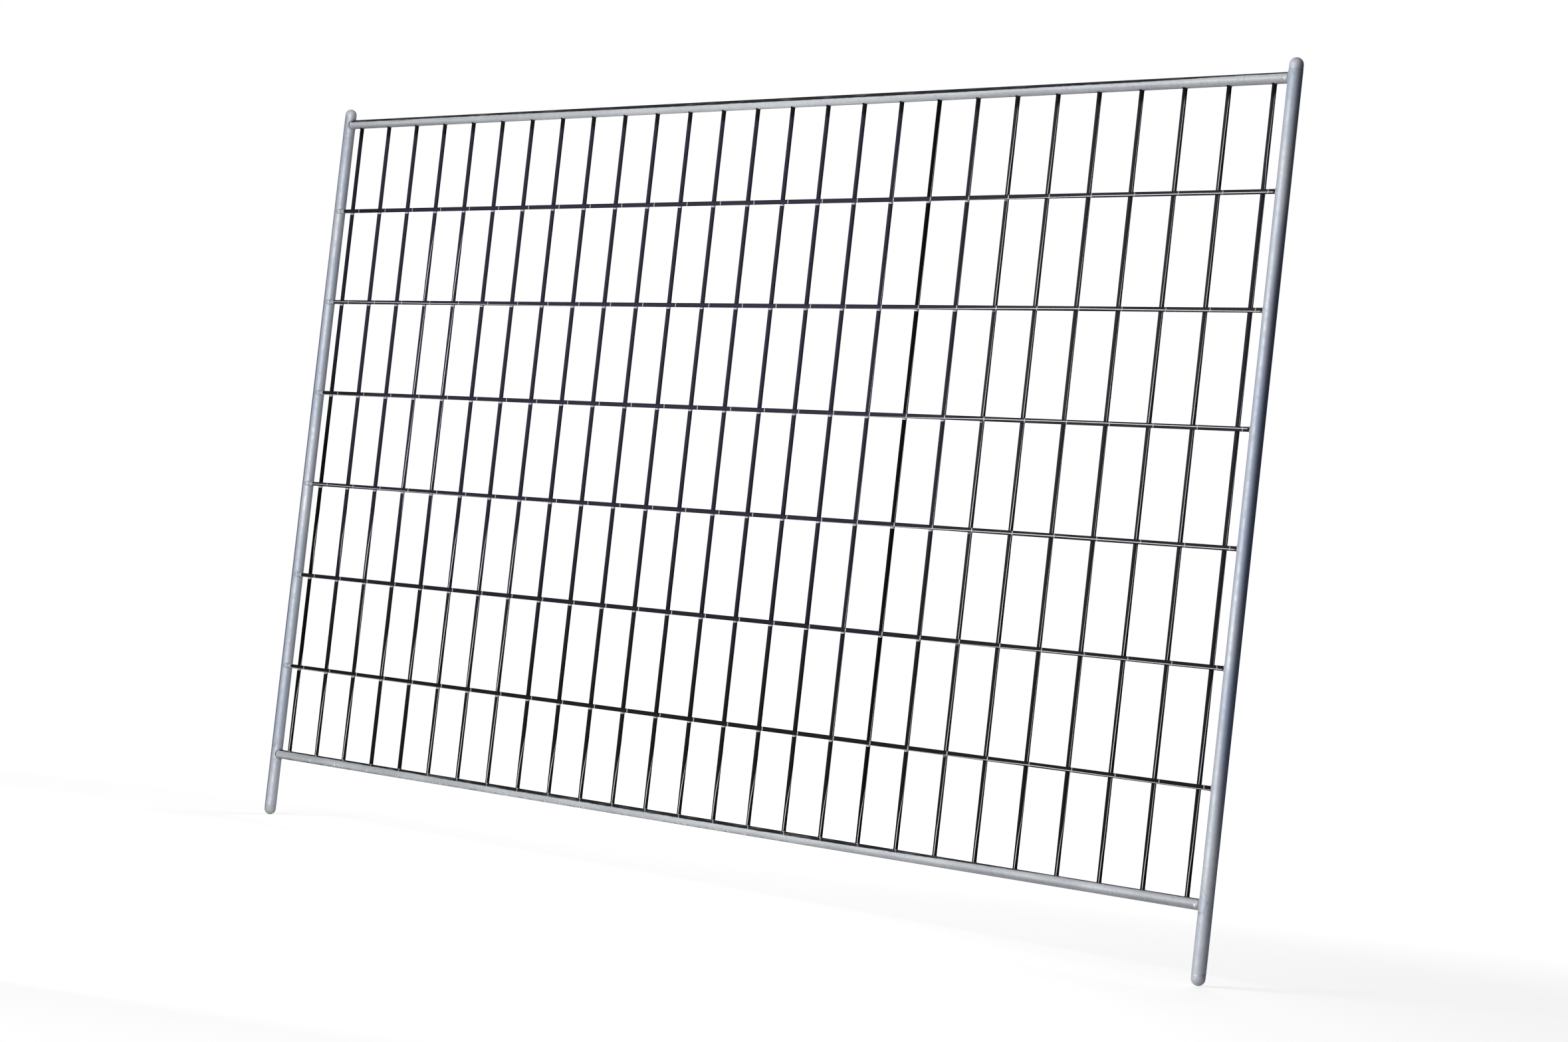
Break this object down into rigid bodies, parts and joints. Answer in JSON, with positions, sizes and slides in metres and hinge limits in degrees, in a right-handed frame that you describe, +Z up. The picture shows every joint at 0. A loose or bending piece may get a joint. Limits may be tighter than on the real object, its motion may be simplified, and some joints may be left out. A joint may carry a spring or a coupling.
{
  "type": "openwork fence panel",
  "caption": "Free-standing fence panel: two round posts with domed ends, two round rails and an openwork screen of thin dark bars, welded together.",
  "frame": {"origin": "on the ground midway between the two posts, on the plane of their axes", "axes": "+X along the panel to the right as seen from the front, -Y towards the front where the level bars lie, +Z up"},
  "size_m": [3.5, 0.032, 2],
  "materials": {
    "tube": "hot-dip galvanised, weathered satin",
    "cap": "hot-dip galvanised, a little duller",
    "weld": "weld bead under zinc",
    "bar": "charcoal coating, satin"
  },
  "bodies": {
    "root": {"bottom_rail": "tube", "bottom_rail_bar_welds": "weld", "crossing_welds_row_1": "bar", "crossing_welds_row_2": "bar", "crossing_welds_row_3": "bar", "crossing_welds_row_4": "bar", "crossing_welds_row_5": "bar", "crossing_welds_row_6": "bar", "foot_caps": "cap", "left_post": "tube", "left_post_bar_welds": "weld", "level_bar_1": "bar", "level_bar_2": "bar", "level_bar_3": "bar", "level_bar_4": "bar", "level_bar_5": "bar", "level_bar_6": "bar", "rail_end_welds": "weld", "right_post": "tube", "right_post_bar_welds": "weld", "top_caps": "cap", "top_rail": "tube", "top_rail_bar_welds": "weld", "upright_bar_01": "bar", "upright_bar_02": "bar", "upright_bar_03": "bar", "upright_bar_04": "bar", "upright_bar_05": "bar", "upright_bar_06": "bar", "upright_bar_07": "bar", "upright_bar_08": "bar", "upright_bar_09": "bar", "upright_bar_10": "bar", "upright_bar_11": "bar", "upright_bar_12": "bar", "upright_bar_13": "bar", "upright_bar_14": "bar", "upright_bar_15": "bar", "upright_bar_16": "bar", "upright_bar_17": "bar", "upright_bar_18": "bar", "upright_bar_19": "bar", "upright_bar_20": "bar", "upright_bar_21": "bar", "upright_bar_22": "bar", "upright_bar_23": "bar", "upright_bar_24": "bar", "upright_bar_25": "bar", "upright_bar_26": "bar", "upright_bar_27": "bar"}
  },
  "joints": []
}
